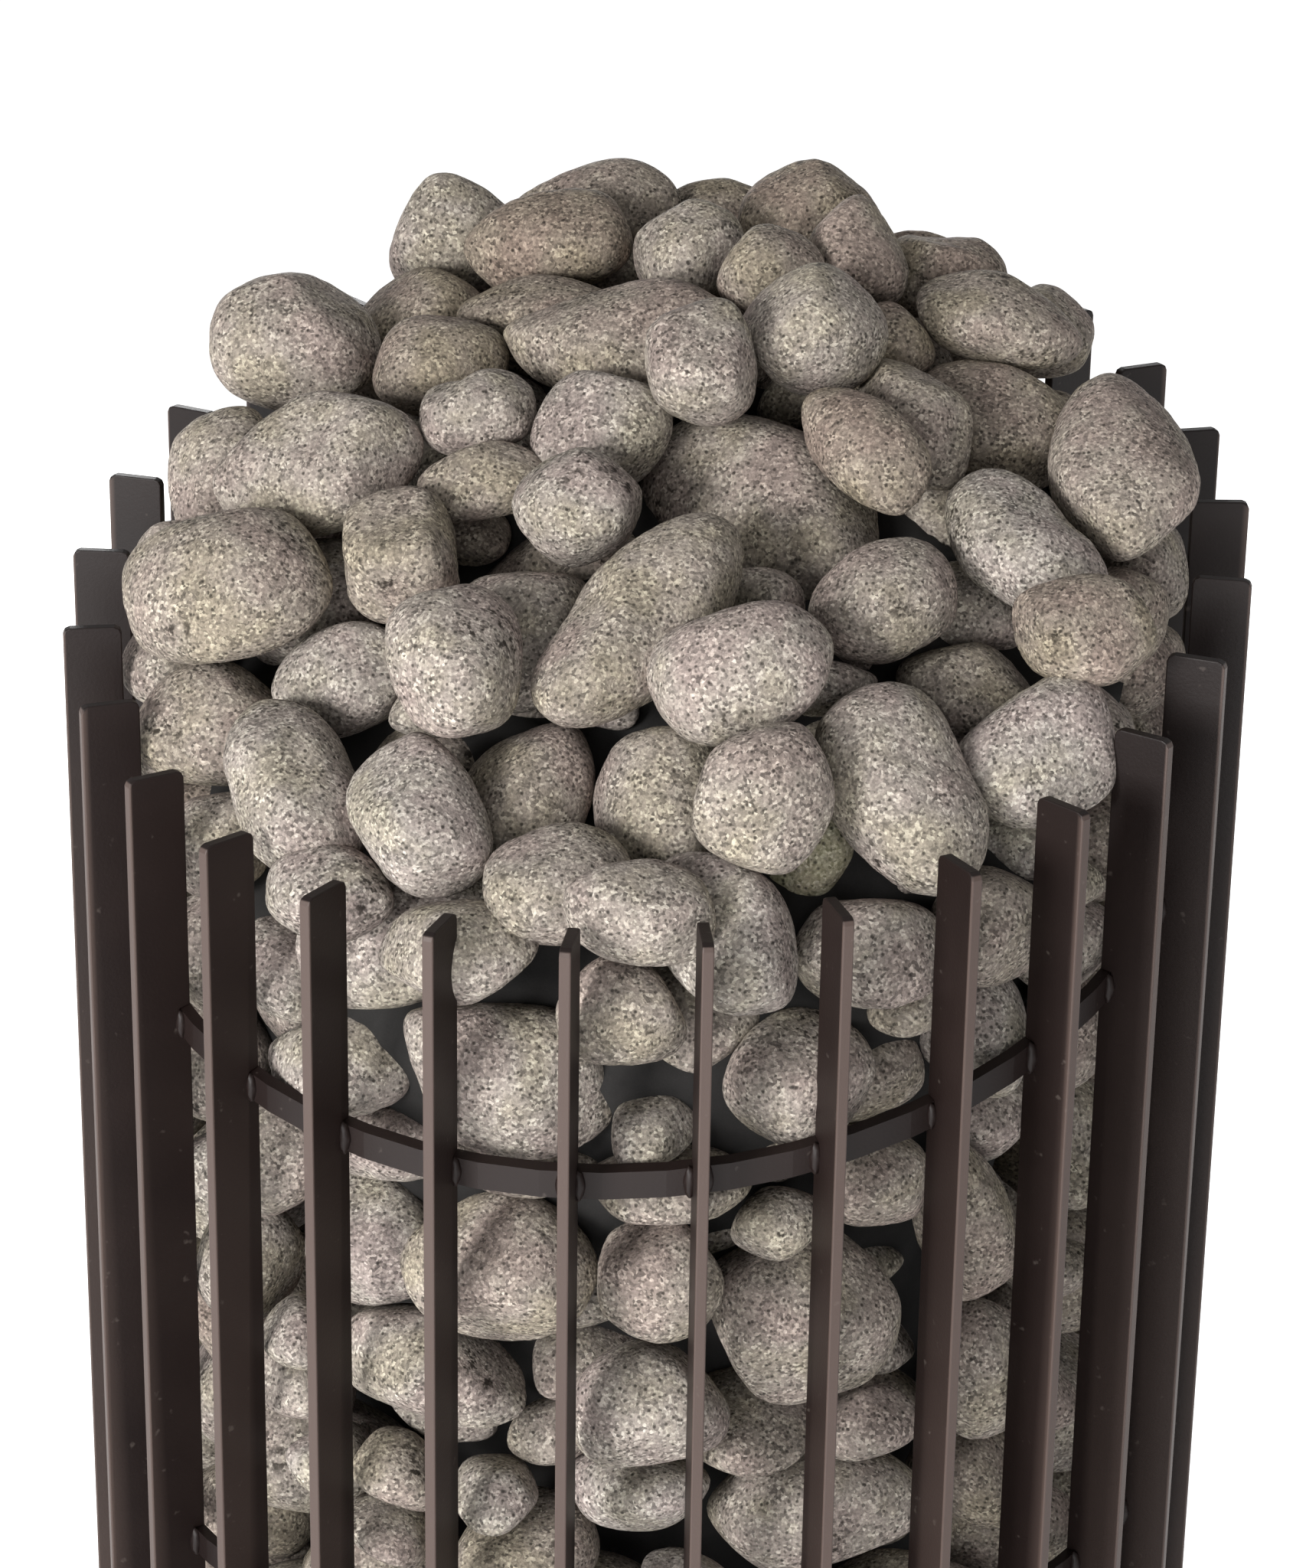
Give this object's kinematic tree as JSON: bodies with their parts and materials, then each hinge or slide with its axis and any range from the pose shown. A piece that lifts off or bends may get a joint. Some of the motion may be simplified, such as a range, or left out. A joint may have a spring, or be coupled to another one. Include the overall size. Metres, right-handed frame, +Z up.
{
  "type": "free-standing electric sauna heater",
  "caption": "Round free-standing sauna heater: open cage of upright radial flat bars with a slanted top, filled and heaped with rounded stones around tubular elements.",
  "frame": {"origin": "on the cage's axis at floor level, under the feet", "axes": "+Z up; the slanted top rises towards +Y, so -Y is the low front that the bather faces; +X to the right seen from the front"},
  "size_m": [0.4296, 0.429, 0.9771],
  "materials": {
    "coated_steel": "satin dark brown-black heat-proof powder coat",
    "zinc_sheet": "plain zinc-coated sheet",
    "foot_steel": "zinc-plated turned steel",
    "element_tube": "heat-tinted stainless tube",
    "black_plastic": "matt black moulding",
    "red_plastic": "red moulding",
    "terminal_ceramic": "unglazed pale ceramic",
    "stone": "tumbled olivine-type stone, grey with fine dark and pale grains, dry and matt"
  },
  "bodies": {
    "heater": {"bar_01": "coated_steel", "bar_02": "coated_steel", "bar_03": "coated_steel", "bar_04": "coated_steel", "bar_05": "coated_steel", "bar_06": "coated_steel", "bar_07": "coated_steel", "bar_08": "coated_steel", "bar_09": "coated_steel", "bar_10": "coated_steel", "bar_11": "coated_steel", "bar_12": "coated_steel", "bar_13": "coated_steel", "bar_14": "coated_steel", "bar_15": "coated_steel", "bar_16": "coated_steel", "bar_17": "coated_steel", "bar_18": "coated_steel", "bar_19": "coated_steel", "bar_20": "coated_steel", "bar_21": "coated_steel", "bar_22": "coated_steel", "bar_23": "coated_steel", "bar_24": "coated_steel", "bar_25": "coated_steel", "bar_26": "coated_steel", "bar_27": "coated_steel", "bar_28": "coated_steel", "bar_29": "coated_steel", "hoop_upper": "coated_steel", "hoop_middle": "coated_steel", "hoop_lower": "coated_steel", "base_plate": "coated_steel", "stone_grate": "coated_steel", "connection_box": "zinc_sheet", "connection_cover": "zinc_sheet", "cable_gland": "black_plastic", "terminal_block": "terminal_ceramic", "limit_thermostat": "black_plastic", "heating_element_1": "element_tube", "heating_element_2": "element_tube", "heating_element_3": "element_tube", "stone_fill": "stone"},
    "reset_button": {"reset_button": "red_plastic"},
    "foot_1": {"foot_1": "foot_steel"},
    "foot_2": {"foot_2": "foot_steel"},
    "foot_3": {"foot_3": "foot_steel"},
    "foot_4": {"foot_4": "foot_steel"},
    "crown_stone_01": {"crown_stone_01": "stone"},
    "crown_stone_02": {"crown_stone_02": "stone"},
    "crown_stone_03": {"crown_stone_03": "stone"},
    "crown_stone_04": {"crown_stone_04": "stone"},
    "crown_stone_05": {"crown_stone_05": "stone"},
    "crown_stone_06": {"crown_stone_06": "stone"},
    "crown_stone_07": {"crown_stone_07": "stone"},
    "crown_stone_08": {"crown_stone_08": "stone"},
    "crown_stone_09": {"crown_stone_09": "stone"},
    "crown_stone_10": {"crown_stone_10": "stone"},
    "crown_stone_11": {"crown_stone_11": "stone"},
    "crown_stone_12": {"crown_stone_12": "stone"}
  },
  "joints": [
    {"name": "reset_button_press", "type": "slide", "parent": "heater", "child": "reset_button", "axis": [0, 1, 0], "range_m": [0, 0.003], "stiffness_N_per_m": 300},
    {"name": "foot_1_level", "type": "slide", "parent": "heater", "child": "foot_1", "axis": [0, 0, -1], "range_m": [0, 0.02]},
    {"name": "foot_2_level", "type": "slide", "parent": "heater", "child": "foot_2", "axis": [0, 0, -1], "range_m": [0, 0.02]},
    {"name": "foot_3_level", "type": "slide", "parent": "heater", "child": "foot_3", "axis": [0, 0, -1], "range_m": [0, 0.02]},
    {"name": "foot_4_level", "type": "slide", "parent": "heater", "child": "foot_4", "axis": [0, 0, -1], "range_m": [0, 0.02]},
    {"name": "crown_stone_01_lift", "type": "slide", "parent": "heater", "child": "crown_stone_01", "axis": [0, 0, 1], "range_m": [0, 0.12]},
    {"name": "crown_stone_02_lift", "type": "slide", "parent": "heater", "child": "crown_stone_02", "axis": [0, 0, 1], "range_m": [0, 0.12]},
    {"name": "crown_stone_03_lift", "type": "slide", "parent": "heater", "child": "crown_stone_03", "axis": [0, 0, 1], "range_m": [0, 0.12]},
    {"name": "crown_stone_04_lift", "type": "slide", "parent": "heater", "child": "crown_stone_04", "axis": [0, 0, 1], "range_m": [0, 0.12]},
    {"name": "crown_stone_05_lift", "type": "slide", "parent": "heater", "child": "crown_stone_05", "axis": [0, 0, 1], "range_m": [0, 0.12]},
    {"name": "crown_stone_06_lift", "type": "slide", "parent": "heater", "child": "crown_stone_06", "axis": [0, 0, 1], "range_m": [0, 0.12]},
    {"name": "crown_stone_07_lift", "type": "slide", "parent": "heater", "child": "crown_stone_07", "axis": [0, 0, 1], "range_m": [0, 0.12]},
    {"name": "crown_stone_08_lift", "type": "slide", "parent": "heater", "child": "crown_stone_08", "axis": [0, 0, 1], "range_m": [0, 0.12]},
    {"name": "crown_stone_09_lift", "type": "slide", "parent": "heater", "child": "crown_stone_09", "axis": [0, 0, 1], "range_m": [0, 0.12]},
    {"name": "crown_stone_10_lift", "type": "slide", "parent": "heater", "child": "crown_stone_10", "axis": [0, 0, 1], "range_m": [0, 0.12]},
    {"name": "crown_stone_11_lift", "type": "slide", "parent": "heater", "child": "crown_stone_11", "axis": [0, 0, 1], "range_m": [0, 0.12]},
    {"name": "crown_stone_12_lift", "type": "slide", "parent": "heater", "child": "crown_stone_12", "axis": [0, 0, 1], "range_m": [0, 0.12]}
  ]
}
